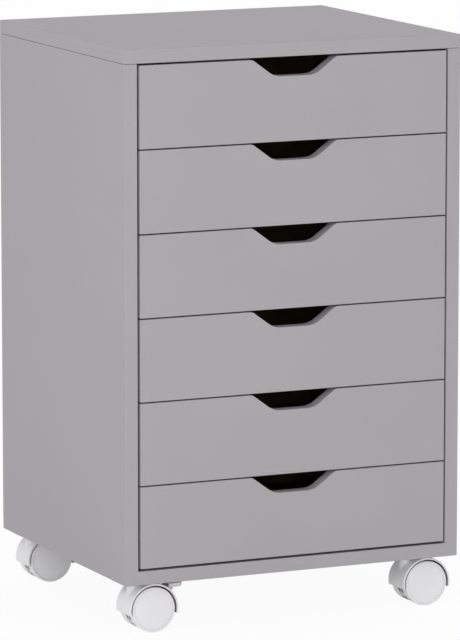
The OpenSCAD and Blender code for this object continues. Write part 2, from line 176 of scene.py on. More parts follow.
def noise(tree, source, output, scale, detail=3):
    """A noise texture on a vector, with its scale in waves per metre."""
    made = tree.nodes.new("ShaderNodeTexNoise")
    made.inputs["Scale"].default_value = scale
    made.inputs["Detail"].default_value = detail
    wire(tree, source, output, made, "Vector")
    return made


def spread(tree, source, output, low, high):
    """The middle part of a noise, 0.3 to 0.7, stretched to run from low to high."""
    made = tree.nodes.new("ShaderNodeMapRange")
    made.inputs["From Min"].default_value = 0.3
    made.inputs["From Max"].default_value = 0.7
    made.inputs["To Min"].default_value = low
    made.inputs["To Max"].default_value = high
    wire(tree, source, output, made, "Value")
    return made


def skin_tone_group():
    """Sprayed and moulded skins: slow clouds lighten and darken the colour and the gloss, and a
    fine stipple stands up from the surface."""
    group, given, result = new_group(
        "uneven_skin",
        [("Colour", "NodeSocketColor", (0.5, 0.5, 0.5, 1)), ("Cloud Scale", "NodeSocketFloat", 8),
         ("Cloud Strength", "NodeSocketFloat", 0.02), ("Stipple Scale", "NodeSocketFloat", 900),
         ("Roughness", "NodeSocketFloat", 0.5)],
        [("Colour", "NodeSocketColor"), ("Roughness", "NodeSocketFloat"), ("Height", "NodeSocketFloat")])
    place = group.nodes.new("ShaderNodeTexCoord")
    clouds = noise(group, place, "Object", 8)
    wire(group, given, "Cloud Scale", clouds, "Scale")
    swing = spread(group, clouds, "Fac", -1, 1)
    strength = group.nodes.new("ShaderNodeMath")
    strength.operation = "MULTIPLY_ADD"
    strength.inputs[2].default_value = 1
    wire(group, swing, "Result", strength, 0)
    wire(group, given, "Cloud Strength", strength, 1)
    tint = group.nodes.new("ShaderNodeVectorMath")
    tint.operation = "SCALE"
    wire(group, given, "Colour", tint, 0)
    wire(group, strength, "Value", tint, "Scale")
    wire(group, tint, "Vector", result, "Colour")
    gloss = group.nodes.new("ShaderNodeMath")
    gloss.operation = "MULTIPLY_ADD"
    gloss.inputs[1].default_value = gloss_swing
    wire(group, swing, "Result", gloss, 0)
    wire(group, given, "Roughness", gloss, 2)
    wire(group, gloss, "Value", result, "Roughness")
    stipple = noise(group, place, "Object", 900, 1)
    wire(group, given, "Stipple Scale", stipple, "Scale")
    wire(group, stipple, "Fac", result, "Height")
    return group


def shader_of(finish):
    """The Principled shader of a material."""
    return finish.node_tree.nodes["Principled BSDF"]


def new_finish(name):
    """A new material, its node tree and its Principled shader."""
    finish = bpy.data.materials.new(name)
    finish.use_nodes = True
    return finish, finish.node_tree, shader_of(finish)


def add_bump(tree, shader, source, output, depth):
    """The height in source stands up by depth, in millimetres, through the shader's normal."""
    bump = tree.nodes.new("ShaderNodeBump")
    bump.inputs["Distance"].default_value = depth * MM
    wire(tree, source, output, bump, "Height")
    wire(tree, bump, "Normal", shader, "Normal")


uneven_skin = skin_tone_group()


def skin_finish(name, colour, roughness, cloud_scale, cloud_strength, stipple_scale, stipple_depth):
    """A material on the uneven skin: base colour, roughness and bump all vary with it."""
    finish, tree, shader = new_finish(name)
    uneven = tree.nodes.new("ShaderNodeGroup")
    uneven.node_tree = uneven_skin
    uneven.inputs["Colour"].default_value = colour
    uneven.inputs["Cloud Scale"].default_value = cloud_scale
    uneven.inputs["Cloud Strength"].default_value = cloud_strength
    uneven.inputs["Stipple Scale"].default_value = stipple_scale
    uneven.inputs["Roughness"].default_value = roughness
    wire(tree, uneven, "Colour", shader, "Base Color")
    wire(tree, uneven, "Roughness", shader, "Roughness")
    add_bump(tree, shader, uneven, "Height", stipple_depth)
    return finish


lacquer = skin_finish(
    "grey_lacquer", lacquer_grey, roughness=0.55,
    cloud_scale=7, cloud_strength=0.018, stipple_scale=900, stipple_depth=0.02)
shader_of(lacquer).inputs["Specular IOR Level"].default_value = 0.08

board_low = underside + board_thickness
board_high = top_height - board_thickness
side_outline = rounded_rectangle(
    (-cabinet_depth / 2, board_low), (cabinet_depth / 2, board_high - seam_gap),
    (0, 0, corner_radius, corner_radius))
for side, name in ((-1, "left_side_board"), (1, "right_side_board")):
    x = side * (cabinet_width - board_thickness) / 2
    shape = slab(side_outline, x - board_thickness / 2, x + board_thickness / 2, edge_ease, butted=(0, -1))
    side_board = make_piece(name, [placed(shape, ALONG_X)], lacquer)
    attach(side_board, "cabinet")
    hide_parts(name.replace("board", "panel"))

# ---- Bottom board ----
# A lacquered board under both sides, held to them by dowels and cam bolts. Its upper face lies
# tight against the sides, so no joint shows there.
board_outline = rounded_rectangle(
    (-cabinet_width / 2, -cabinet_depth / 2), (cabinet_width / 2, cabinet_depth / 2), (corner_radius,) * 4)
bottom_board = make_piece(
    "bottom_board", [slab(board_outline, underside, board_low, edge_ease, tight_ease)], lacquer)
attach(bottom_board, "cabinet")
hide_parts("bottom_panel")

# ---- Top board ----
# A board of the same size over both sides, held like the bottom one. All its edges are eased, so the
# shadow line under it is soft.
top_board = make_piece(
    "top_board", [slab(board_outline, board_high, top_height, edge_ease)], lacquer)
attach(top_board, "cabinet")
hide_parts("top_panel")

# ---- Back sheet ----
# A thin hardboard sheet pushed into grooves in all four boards. Its rear face keeps the fine mesh
# of the press screen, and fibres show in its brown colour.
hardboard_brown = (0.335, 0.26, 0.195, 1)
hardboard_dark = (0.26, 0.195, 0.14, 1)
fibre_waves = (260, 900, 700)
screen_pitch = 1.6
screen_depth = 0.08


def dress(names, finish):
    """The modelled nodes keep their shape and get this material."""
    for name in names:
        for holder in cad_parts[name].material_slots:
            holder.material = finish


def fibre_finish():
    """Short fibres as a noise stretched along x, and a woven mesh as the product of two sine waves."""
    finish, tree, shader = new_finish("hardboard")
    place = tree.nodes.new("ShaderNodeTexCoord")
    stretch = tree.nodes.new("ShaderNodeMapping")
    stretch.inputs["Scale"].default_value = fibre_waves
    wire(tree, place, "Object", stretch, "Vector")
    fibres = noise(tree, stretch, "Vector", 1, 4)
    share = spread(tree, fibres, "Fac", 0, 1)
    blend = tree.nodes.new("ShaderNodeMix")
    blend.data_type = "RGBA"
    blend.inputs["A"].default_value = hardboard_dark
    blend.inputs["B"].default_value = hardboard_brown
    wire(tree, share, "Result", blend, "Factor")
    wire(tree, blend, "Result", shader, "Base Color")
    rough = spread(tree, fibres, "Fac", 0.6, 0.8)
    wire(tree, rough, "Result", shader, "Roughness")
    parts = tree.nodes.new("ShaderNodeSeparateXYZ")
    wire(tree, place, "Object", parts, "Vector")
    waves = []
    for axis in ("X", "Z"):
        turns = tree.nodes.new("ShaderNodeMath")
        turns.operation = "MULTIPLY"
        turns.inputs[1].default_value = 2 * np.pi / (screen_pitch * MM)
        wire(tree, parts, axis, turns, 0)
        wave = tree.nodes.new("ShaderNodeMath")
        wave.operation = "SINE"
        wire(tree, turns, "Value", wave, 0)
        waves.append(wave)
    mesh_print = tree.nodes.new("ShaderNodeMath")
    mesh_print.operation = "MULTIPLY"
    wire(tree, waves[0], "Value", mesh_print, 0)
    wire(tree, waves[1], "Value", mesh_print, 1)
    add_bump(tree, shader, mesh_print, "Value", screen_depth)
    return finish


hardboard = fibre_finish()
dress(["back_panel"], hardboard)

# ---- Dowels, cam bolts and cam locks ----
# Beech dowels are glued into the board ends. Zinc plated bolts screw into the top and bottom boards,
# and each is pulled tight by a cam that turns in the side board.
drawer_count = 6
drawer_numbers = range(1, drawer_count + 1)
beech_light = (0.62, 0.44, 0.27, 1)
beech_dark = (0.47, 0.30, 0.17, 1)
band_waves = (60, 2.2, 26)
pore_waves = (1400, 45, 1400)
pore_depth = 0.06
glue_line_strength = 0.55
glue_line_shade = 0.55


def figured_wood_group():
    """Wood grain on a vector whose y runs along the fibres: wide bands from a warped noise, and
    short dark pores from a much finer one, both drawn out along y."""
    group, given, result = new_group(
        "figured_wood",
        [("Vector", "NodeSocketVector", (0, 0, 0)), ("Light", "NodeSocketColor", beech_light),
         ("Dark", "NodeSocketColor", beech_dark)],
        [("Colour", "NodeSocketColor"), ("Height", "NodeSocketFloat")])
    stretch = group.nodes.new("ShaderNodeMapping")
    stretch.inputs["Scale"].default_value = band_waves
    wire(group, given, "Vector", stretch, "Vector")
    bands = noise(group, stretch, "Vector", 1, 3)
    bands.inputs["Distortion"].default_value = 0.6
    fine = group.nodes.new("ShaderNodeMapping")
    fine.inputs["Scale"].default_value = pore_waves
    wire(group, given, "Vector", fine, "Vector")
    pores = noise(group, fine, "Vector", 1, 2)
    share = spread(group, bands, "Fac", 0, 0.7)
    speckle = spread(group, pores, "Fac", -0.15, 0.3)
    both = group.nodes.new("ShaderNodeMath")
    both.operation = "ADD"
    both.use_clamp = True
    wire(group, share, "Result", both, 0)
    wire(group, speckle, "Result", both, 1)
    blend = group.nodes.new("ShaderNodeMix")
    blend.data_type = "RGBA"
    wire(group, both, "Value", blend, "Factor")
    group.links.new(given.outputs["Light"], blend.inputs["A"])
    group.links.new(given.outputs["Dark"], blend.inputs["B"])
    group.links.new(blend.outputs["Result"], result.inputs["Colour"])
    wire(group, pores, "Fac", result, "Height")
    return group


figured_wood = figured_wood_group()


def wood_finish(name, light, dark, turn=(0, 0, 0), plies=0):
    """Figured wood, turned so that the fibres run along y. Where plies are asked for, the faces that
    don't look along x show layers of that pitch: a square wave of x, alternately light and dark."""
    finish, tree, shader = new_finish(name)
    place = tree.nodes.new("ShaderNodeTexCoord")
    turned = tree.nodes.new("ShaderNodeMapping")
    turned.inputs["Rotation"].default_value = turn
    wire(tree, place, "Object", turned, "Vector")
    wood = tree.nodes.new("ShaderNodeGroup")
    wood.node_tree = figured_wood
    wood.inputs["Light"].default_value = light
    wood.inputs["Dark"].default_value = dark
    wire(tree, turned, "Vector", wood, "Vector")
    colour = wood.outputs["Colour"]
    if plies:
        facing = tree.nodes.new("ShaderNodeMapping")
        facing.vector_type = "NORMAL"
        facing.inputs["Rotation"].default_value = turn
        wire(tree, place, "Normal", facing, "Vector")
        facing_parts = tree.nodes.new("ShaderNodeSeparateXYZ")
        wire(tree, facing, "Vector", facing_parts, "Vector")
        size = tree.nodes.new("ShaderNodeMath")
        size.operation = "ABSOLUTE"
        wire(tree, facing_parts, "X", size, 0)
        is_edge = tree.nodes.new("ShaderNodeMath")
        is_edge.operation = "LESS_THAN"
        is_edge.inputs[1].default_value = 0.5
        wire(tree, size, "Value", is_edge, 0)
        place_parts = tree.nodes.new("ShaderNodeSeparateXYZ")
        wire(tree, turned, "Vector", place_parts, "Vector")
        layer = tree.nodes.new("ShaderNodeMath")
        layer.operation = "PINGPONG"
        layer.inputs[1].default_value = plies * MM
        wire(tree, place_parts, "X", layer, 0)
        stripe = tree.nodes.new("ShaderNodeMapRange")
        stripe.inputs["From Min"].default_value = plies * MM * 0.44
        stripe.inputs["From Max"].default_value = plies * MM * 0.56
        stripe.inputs["To Max"].default_value = glue_line_strength
        wire(tree, layer, "Value", stripe, "Value")
        mask = tree.nodes.new("ShaderNodeMath")
        mask.operation = "MULTIPLY"
        wire(tree, stripe, "Result", mask, 0)
        wire(tree, is_edge, "Value", mask, 1)
        layers = tree.nodes.new("ShaderNodeMix")
        layers.data_type = "RGBA"
        layers.inputs["B"].default_value = [glue_line_shade * c for c in dark[:3]] + [1]
        wire(tree, mask, "Value", layers, "Factor")
        tree.links.new(colour, layers.inputs["A"])
        colour = layers.outputs["Result"]
    tree.links.new(colour, shader.inputs["Base Color"])
    rough = spread(tree, wood, "Height", 0.5, 0.65)
    wire(tree, rough, "Result", shader, "Roughness")
    add_bump(tree, shader, wood, "Height", pore_depth)
    return finish


beech = wood_finish("beech", beech_light, beech_dark)
dress(["carcass_dowels"] + [f"drawer_{n}_dowels" for n in drawer_numbers], beech)

zinc = skin_finish(
    "zinc_steel", (0.58, 0.585, 0.59, 1), roughness=0.36,
    cloud_scale=120, cloud_strength=0.06, stipple_scale=2600, stipple_depth=0.01)
shader_of(zinc).inputs["Metallic"].default_value = 1
dress(["cam_bolts", "cam_locks"], zinc)

# ---- Runners ----
# Twelve white plastic strips, each screwed to a side board with two countersunk screws. A groove
# in the drawer side slides along each.
runner_white = skin_finish(
    "runner_plastic", (0.74, 0.74, 0.73, 1), roughness=0.42,
    cloud_scale=30, cloud_strength=0.02, stipple_scale=1500, stipple_depth=0.015)
dress(["drawer_runners"], runner_white)
dress(["runner_screws"], zinc)

# ---- Drawer fronts ----
# Six lacquered boards with a routed hand cut-out in the middle of the upper edge. All four edges
# and the cut-out are eased before spraying. Each is pegged to its drawer box.
left_gap = 2.8
right_gap = 2.1
top_gap = 2.2
low_gap = 2.6
row_gap = 1.5
front_width = cabinet_width - 2 * board_thickness - left_gap - right_gap
front_stack = board_high - board_low - top_gap - low_gap
front_height = (front_stack - (drawer_count - 1) * row_gap) / drawer_count
front_ease = 0.45
grip_width = 100
grip_floor = 48
grip_depth = 19
grip_top_radius = 8
grip_low_radius = 25
grip_steps = 10


def front_outline():
    """A rectangle whose upper edge dips: a convex arc of the top radius, a straight slope, a
    concave arc of the low radius and a flat floor, mirrored about u = 0."""
    slope = np.degrees(np.arctan2(grip_depth, (grip_width - grip_floor) / 2))
    reach = np.tan(np.radians(slope / 2))
    shoulder = arc((grip_width / 2 + grip_top_radius * reach, front_height - grip_top_radius),
                   grip_top_radius, 90, 90 + slope, grip_steps)
    foot = arc((grip_floor / 2 - grip_low_radius * reach, front_height - grip_depth + grip_low_radius),
               grip_low_radius, slope - 90, -90, grip_steps)
    right = np.concatenate([shoulder, foot])
    left = right[::-1] * (-1, 1)
    half = front_width / 2
    corners = rounded_rectangle((-half, 0), (half, front_height), (corner_radius,) * 4)
    upper_left = 3 * (corner_steps + 1)
    return np.concatenate([corners[:upper_left], right, left, corners[upper_left:]])


for n in drawer_numbers:
    front_low = board_high - top_gap - n * front_height - (n - 1) * row_gap
    shape = slab(front_outline(), 0, board_thickness, front_ease)
    place = ((left_gap - right_gap) / 2, -cabinet_depth / 2 + board_thickness, front_low)
    front = make_piece(f"drawer_front_{n}", [placed(shape, TO_FRONT, place)], lacquer)
    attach(front, f"drawer_{n}")
    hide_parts(f"drawer_{n}_front")

# ---- Drawer boxes ----
# Sides and back of birch plywood, glued on pegs, round a hardboard bottom in grooves. The sides'
# fibres run from front to rear, those of the back from side to side.
birch_light = (0.66, 0.51, 0.34, 1)
birch_dark = (0.52, 0.37, 0.22, 1)
box_board = 12
ply_count = 9
ply_pitch = box_board / ply_count
side_plywood = wood_finish("birch_plywood_sides", birch_light, birch_dark, plies=ply_pitch)
back_plywood = wood_finish(
    "birch_plywood_backs", birch_light, birch_dark, turn=(0, 0, np.pi / 2), plies=ply_pitch)
dress([f"drawer_{n}_sides" for n in drawer_numbers], side_plywood)
dress([f"drawer_{n}_back" for n in drawer_numbers], back_plywood)
dress([f"drawer_{n}_base" for n in drawer_numbers], hardboard)

# ---- Caster plates and screws ----
# Under each corner of the bottom board, a zinc plated steel plate with a riveted swivel pin, held by
# four wood screws.
dress(["caster_plates", "caster_screws"], zinc)

# ---- Caster hoods ----
# A moulded plastic arch over two wheels. Between them stand a web with the axle's hub, a slim boss
# for the swivel pin, and a guard on a thin fin, which leaves two small windows under the arch. A
# neck runs out of the arch in a soft fillet.
axle_height = 25
axle_left = -160
axle_right = 170
axle_front = -141.5
axle_rear = 146.5
axle_places = {
    "front_left": (axle_left, axle_front, axle_height),
    "front_right": (axle_right, axle_front, axle_height),
    "rear_left": (axle_left, axle_rear, axle_height),
    "rear_right": (axle_right, axle_rear, axle_height),
}
braked_corners = ("front_left", "rear_left")
hood_start = -12
hood_stop = 190
hood_inside = 26.7
hood_outside = 28.7
hood_half_width = 18.8
rim_bevel = 0.3
web_rim = hood_inside + 1
web_notch_radius = 24.5
web_half_width = 2.5
web_stop = hood_stop - 1
web_ease = 0.4
hub_radius = 5
hub_half_width = 6.3
guard_radius = 23.5
guard_inside = 12
guard_start = 211
guard_stop = 228
guard_half_width = 6.2
fin_radius = 24.4
fin_inside = 5.5
fin_start = hood_stop - 12
fin_stop = guard_start + 2
fin_half_width = 0.8
sector_ease = 0.3
boss_radius = 5.8
boss_top = 27
boss_ease = 0.5
notch_start = 6
notch_stop = 54
notch_half_width = 9.5
trail = 17.5
neck_radius = 6
neck_flare = 1.4
neck_top = 29.7
neck_steps = 48
neck_edge = 0.5
neck_edge_start = 0.15
neck_lid_width = 3
neck_sink = 0.05
neck_foot_rise = 0.9
caster_white = (0.8, 0.79, 0.805, 1)
# A dark grey for the inner faces of the hoods and wheels: painted shade for the gaps between hood and
# wheels
painted_shade_grey = (0.3, 0.29, 0.29, 1)

caster_plastic = skin_finish(
    "caster_plastic", caster_white, roughness=0.38,
    cloud_scale=45, cloud_strength=0.015, stipple_scale=1800, stipple_depth=0.012)
# Rough plastic in that dark grey, for the faces deep in those gaps: painted shade, not the plastic's own
# colour
painted_shade_plastic = skin_finish(
    "painted_shade_plastic", painted_shade_grey, roughness=0.8,
    cloud_scale=160, cloud_strength=0.12, stipple_scale=1200, stipple_depth=0.03)


def arch(notched):
    """A plate bent round the axle: the points (radius * cos a, y, radius * sin a) at the outer and
    the inner radius, over a grid of the angle a and the width y, without the cells of the notch.
    A wall joins both surfaces along every edge where a cell ends."""
    a = np.concatenate([
        np.linspace(hood_start, notch_start, 6)[:-1],
        np.linspace(notch_start, notch_stop, 18)[:-1],
        np.linspace(notch_stop, hood_stop, 52),
    ])
    y = np.array([-hood_half_width, -notch_half_width, notch_half_width, hood_half_width])
    angle, width = np.meshgrid(np.radians(a), y, indexing="ij")
    surfaces = [
        np.stack([radius * np.cos(angle), width, radius * np.sin(angle)], 2)
        for radius in (hood_outside, hood_inside)]
    kept = np.ones((len(a) - 1, len(y) - 1), bool)
    middle = (a[:-1] + a[1:]) / 2
    kept[(middle > notch_start) & (middle < notch_stop), 1] = not notched
    out = np.arange(angle.size).reshape(angle.shape)
    inn = out + angle.size
    cell_corners = ((0, 0), (0, 1), (1, 1), (1, 0))
    o00, o01, o11, o10, i00, i01, i11, i10 = [
        grid[i:len(a) - 1 + i, j:len(y) - 1 + j]
        for grid in (out, inn) for i, j in cell_corners]
    around = np.pad(kept, 1)
    edges = [
        (around[:-2, 1:-1], (o01, o00, i00, i01)),
        (around[2:, 1:-1], (o10, o11, i11, i10)),
        (around[1:-1, :-2], (o00, o10, i10, i00)),
        (around[1:-1, 2:], (o11, o01, i01, i11)),
    ]
    quads = [np.stack(corners, 2)[kept] for corners in ((o00, o01, o11, o10), (i10, i11, i01, i00))]
    quads += [np.stack(corners, 2)[kept & ~beyond] for beyond, corners in edges]
    used, numbers = np.unique(np.concatenate(quads), return_inverse=True)
    points = np.concatenate(surfaces).reshape(-1, 3)[used]
    return points, [numbers.reshape(-1, 4)]


def web(notched):
    """A sector of a disc between the wheels, which follows the arch at the rim's radius, lower in the
    notch, and the hub's arc round the axle on its open side."""
    rim_arcs = [arc((0, 0), web_rim, hood_start, web_stop, 60)]
    if notched:
        rim_arcs = [
            arc((0, 0), web_rim, hood_start, notch_start, 5),
            arc((0, 0), web_notch_radius, notch_start, notch_stop, 14),
            arc((0, 0), web_rim, notch_stop, web_stop, 44),
        ]
    hub_arc = arc((0, 0), hub_radius, web_stop, hood_start + 360, 14)
    outline = np.concatenate(rim_arcs + [hub_arc])
    return placed(slab(outline, -web_half_width, web_half_width, web_ease), TO_FRONT)


def circle(radius, steps=48):
    """An anticlockwise circle without its closing point."""
    return arc((0, 0), radius, 0, 360, steps)[:-1]


def neck():
    """For each angle about the swivel axis, the radius falls from its flared foot to the neck as
    flare * (1 - s)^2.5, and the height rises from the arch's surface to the top as s^1.4. Below, it is
    closed along the middle of the arch's wall, and the top edge is eased."""
    turn = np.radians(np.arange(neck_steps) * 360 / neck_steps)
    s = np.linspace(0, 1, 14)[:, None]
    radius = neck_radius + neck_flare * (1 - s) ** 2.5 + 0 * turn
    x = -trail + radius * np.cos(turn)
    arch_height = np.sqrt((hood_outside - neck_sink) ** 2 - x ** 2)
    height = arch_height + (neck_top - neck_edge - arch_height) * s ** 1.4
    rise = np.stack([x, radius * np.sin(turn), height], 2)
    share = np.array([0.05, 0.35, 0.7, 1])[:, None]
    low_radius = share * (neck_radius + neck_flare) + 0 * turn
    low_x = -trail + low_radius * np.cos(turn)
    low_height = np.sqrt((hood_inside + neck_foot_rise) ** 2 - low_x ** 2)
    low = np.stack([low_x, low_radius * np.sin(turn), low_height], 2)
    lid_inset = np.array([neck_edge_start, neck_edge, neck_lid_width])
    lid_radius = (neck_radius - lid_inset)[:, None] + 0 * turn
    lid_height = np.array([neck_top - neck_edge_start, neck_top, neck_top])[:, None] + 0 * turn
    lid = np.stack([-trail + lid_radius * np.cos(turn), lid_radius * np.sin(turn), lid_height], 2)
    return skin(np.concatenate([low, rise, lid]))


# Picks the faces of a hood that take the painted shade
def inner_faces(piece, axle):
    """One for each face that looks at the axle from the arch's inner radius, or to the side from the
    web, zero elsewhere. A face belongs to the web where its middle is less than 3 mm from the middle
    of the caster, and to the arch where it is within 0.5 mm of that radius."""
    count = len(piece.data.polygons)
    middle = np.zeros(3 * count)
    normal = np.zeros(3 * count)
    piece.data.polygons.foreach_get("center", middle)
    piece.data.polygons.foreach_get("normal", normal)
    way = middle.reshape(-1, 3) / MM - np.array(axle)
    look = normal.reshape(-1, 3)
    reach = np.linalg.norm(way[:, ::2], axis=1)
    inwards = -np.sum(way[:, ::2] * look[:, ::2], 1) / reach
    straight_on = 0.9
    in_arch = (inwards > straight_on) & (np.abs(reach - hood_inside) < 0.5)
    on_web = (np.abs(look[:, 1]) > straight_on) & (np.abs(way[:, 1]) < 3) & (reach < hood_inside)
    return (in_arch | on_web).astype(int)


def sector(outer, inner, start, stop, half_width):
    """The outline runs along the outer radius from start to stop and back along the inner one, and is
    carried from -half_width to half_width."""
    outline = np.concatenate([arc((0, 0), outer, start, stop, 12), arc((0, 0), inner, stop, start, 6)])
    return placed(slab(outline, -half_width, half_width, sector_ease), TO_FRONT)


hub = placed(slab(circle(hub_radius), -hub_half_width, hub_half_width, web_ease), TO_FRONT)
guard = sector(guard_radius, guard_inside, guard_start, guard_stop, guard_half_width)
fin = sector(fin_radius, fin_inside, fin_start, fin_stop, fin_half_width)
boss = placed(slab(circle(boss_radius), 0, boss_top, boss_ease), ALONG_Z, (-trail, 0, 0))
for corner, axle in axle_places.items():
    notched = corner in braked_corners
    hood_shapes = (arch(notched), web(notched), neck(), hub, guard, fin, boss)
    shapes = [placed(shape, ALONG_Z, axle) for shape in hood_shapes]
    hood = make_piece(f"hood_{corner}", shapes, caster_plastic, bevel=rim_bevel)
    # The arch's inner face and the web's sides take the second, dark material: painted shade inside the
    # hood round the wheels
    hood.data.materials.append(painted_shade_plastic)
    hood.data.polygons.foreach_set("material_index", inner_faces(hood, axle))
    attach(hood, f"caster_{corner}")
    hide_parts(f"caster_{corner}_hood")

# ---- Axles and wheels ----
# A moulded wheel turns on each end of a steel pin. It has a flat rim, a fine groove and a slightly
# domed disc outside, and a hollow with ribs between the hub and the rim inside.
wheel_radius = axle_height
wheel_width = 11.6
wheel_split = 13.2
bore_radius = 2.05
bore_depth = 10.1
wheel_hub_radius = 5
hollow_depth = 8.6
hollow_radius = 20.8
hollow_round = 0.4
bore_round = 0.3
disc_radius = 22
disc_step = 0.8
disc_face = wheel_width - disc_step
disc_bulge = 0.8
groove_depth = 0.4
groove_floor = disc_face - groove_depth
rim_round = 1.2
rib_count = 6
rib_thickness = 1.6
rib_start = 4.6
rib_low = 3
rib_high = 8.9
rib_round = 0.1
rib_ease = 0.3
wheel_steps = 96


def wheel_profile():
    """Distance from the inner face against radius, from the end of the bore, out over the hub, along
    the hollow and the tread, down a fine groove round the disc, to the disc's middle. At radius r the
    disc stands bulge * (1 - (r / disc radius)^2) proud of its face."""
    inner = np.array([
        (bore_depth, bore_radius),
        (bore_round, bore_radius),
        (0, bore_radius + bore_round),
        (0, wheel_hub_radius - bore_round),
        (bore_round, wheel_hub_radius),
        (hollow_depth - hollow_round, wheel_hub_radius),
        (hollow_depth, wheel_hub_radius + hollow_round),
        (hollow_depth, hollow_radius),
        (hollow_depth - hollow_round, disc_radius - 0.2),
        (hollow_round, disc_radius),
        (0, disc_radius + hollow_round),
        (0, wheel_radius - rim_round),
    ])
    inner_edge = arc((rim_round, wheel_radius - rim_round), rim_round, 180, 90, 5)[1:]
    outer_edge = arc((wheel_width - rim_round, wheel_radius - rim_round), rim_round, 90, 0, 6)
    groove = np.array([
        (wheel_width, disc_radius + 0.95),
        (wheel_width - 0.1, disc_radius + 0.8),
        (groove_floor, disc_radius + 0.6),
        (groove_floor, disc_radius + 0.3),
        (disc_face - 0.1, disc_radius + 0.1),
        (disc_face, disc_radius - 0.05),
    ])
    radius = disc_radius * np.array([0.985, 0.93, 0.82, 0.68, 0.5, 0.33, 0.17, 0.05])
    disc = np.stack([disc_face + disc_bulge * (1 - (radius / disc_radius) ** 2), radius], 1)
    return np.concatenate([inner, inner_edge, outer_edge, groove, disc])


def wheel_shapes():
    """The profile turned round the axle, (r cos a, r sin a, distance), and the ribs as thin slabs that
    run outwards at equal angles."""
    distance, radius = wheel_profile().T[:, :, None]
    a = np.arange(wheel_steps) * 2 * np.pi / wheel_steps
    rings = np.stack([radius * np.cos(a), radius * np.sin(a), distance + 0 * a], 2)
    shapes = [skin(rings)]
    half = rib_thickness / 2
    for turn in np.arange(rib_count) * 2 * np.pi / rib_count:
        rib = rounded_rectangle((rib_start, -half), (disc_radius + hollow_round, half), (rib_round,) * 4)
        along = np.array([np.cos(turn), np.sin(turn)])
        across = np.array([-np.sin(turn), np.cos(turn)])
        shapes.append(slab(rib @ np.array([along, across]), rib_low, rib_high, rib_ease))
    return shapes


wheel_plastic = skin_finish(
    "wheel_plastic", (0.82, 0.81, 0.825, 1), roughness=0.4,
    cloud_scale=45, cloud_strength=0.015, stipple_scale=1500, stipple_depth=0.012)
dress([f"caster_{corner}_axle" for corner in axle_places], zinc)
# The first eleven rows of faces, from the bore to the rim, are the inside, which takes the dark second
# material: painted shade in the wheel's hollow and the slot between the wheels
inner_rows = 11
for corner, axle in axle_places.items():
    for name, side, axes in (("near", -1, TO_FRONT), ("far", 1, TO_REAR)):
        origin = np.array(axle) + (0, side * wheel_split / 2, 0)
        shapes = [placed(shape, axes, origin) for shape in wheel_shapes()]
        wheel = make_piece(f"wheel_{corner}_{name}", shapes, wheel_plastic)
        wheel.data.materials.append(painted_shade_plastic)
        slots = np.zeros(len(wheel.data.polygons), int)
        slots[:inner_rows * wheel_steps] = 1
        wheel.data.polygons.foreach_set("material_index", slots)
        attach(wheel, f"wheel_{corner}_{name}")
        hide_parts(f"caster_{corner}_{name}_wheel")

# ---- Brake pedals ----
# A moulded tongue in the notch of two hoods. It tips about a pin in the web and presses its curved
# shoe on both treads.
pedal_half_width = 9
pedal_reach = 40
pedal_ease = 0.5
shoe_thickness = 2.4
shoe_inside = 27.4
shoe_start = 14
shoe_stop = 46
tongue_thickness = 4.8
tongue_low = 20.8
tongue_root = 9
tongue_low_ease = 1.3
tongue_high_ease = 1.1
gusset_length = 7
gusset_inset = 0.3
gusset_start = 45
gusset_stop = 34
gusset_bite = 0.8
gusset_sink = 0.4
pivot_radius = 22
pivot_angle = 55
pin_radius = 1.2
pin_half_length = 5.6
pin_ease = 0.2
cheek_thickness = 2.8
cheek_eye_radius = 3
cheek_start = 18
cheek_stop = 45
cheek_bite = 0.5
cheek_ease = 0.3


def pedal_shapes():
    """The shoe is a band of a ring, the tongue a rectangle that ends in a half circle, the gusset a
    wedge that joins them, and each cheek the hull of the pin's eye and a chord of the shoe."""
    shoe = np.concatenate([
        arc((0, 0), shoe_inside + shoe_thickness, shoe_start, shoe_stop, 12),
        arc((0, 0), shoe_inside, shoe_stop, shoe_start, 12)])
    pivot = pivot_radius * np.array([np.cos(np.radians(pivot_angle)), np.sin(np.radians(pivot_angle))])
    root = pivot[0] + tongue_root
    gusset_tip = root + gusset_length
    tip = pedal_reach - pedal_half_width
    tongue_high = tongue_low + tongue_thickness
    tongue = np.concatenate([
        arc((tip, 0), pedal_half_width, -90, 90, 24),
        np.array([(root, pedal_half_width), (root, -pedal_half_width)])])
    gusset = np.concatenate([
        arc((0, 0), shoe_inside + gusset_bite, gusset_start, gusset_stop, 4),
        np.array([
            (gusset_tip, tongue_low + gusset_bite),
            (gusset_tip, tongue_high - gusset_sink),
            (root + gusset_sink, tongue_high - gusset_sink),
        ])])
    cheek = np.concatenate([
        arc(pivot, cheek_eye_radius, pivot_angle + 90, pivot_angle + 270, 12),
        arc((0, 0), shoe_inside + cheek_bite, cheek_start, cheek_stop, 8)])
    pin = circle(pin_radius, 24) + pivot
    gusset_half_width = pedal_half_width - gusset_inset
    shapes = [
        placed(slab(shoe, -pedal_half_width, pedal_half_width, pedal_ease), TO_FRONT),
        placed(slab(tongue, tongue_low, tongue_high, tongue_low_ease, tongue_high_ease), ALONG_Z),
        placed(slab(gusset, -gusset_half_width, gusset_half_width, pedal_ease), TO_FRONT),
        placed(slab(pin, -pin_half_length, pin_half_length, pin_ease), TO_FRONT),
    ]
    for low in (-pin_half_length, pin_half_length - cheek_thickness):
        shapes.append(placed(slab(cheek, low, low + cheek_thickness, cheek_ease), TO_FRONT))
    return shapes


for corner in braked_corners:
    shapes = [placed(shape, ALONG_Z, axle_places[corner]) for shape in pedal_shapes()]
    pedal = make_piece(f"pedal_{corner}", shapes, caster_plastic)
    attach(pedal, f"pedal_{corner}")
    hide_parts(f"brake_pedal_{corner}")

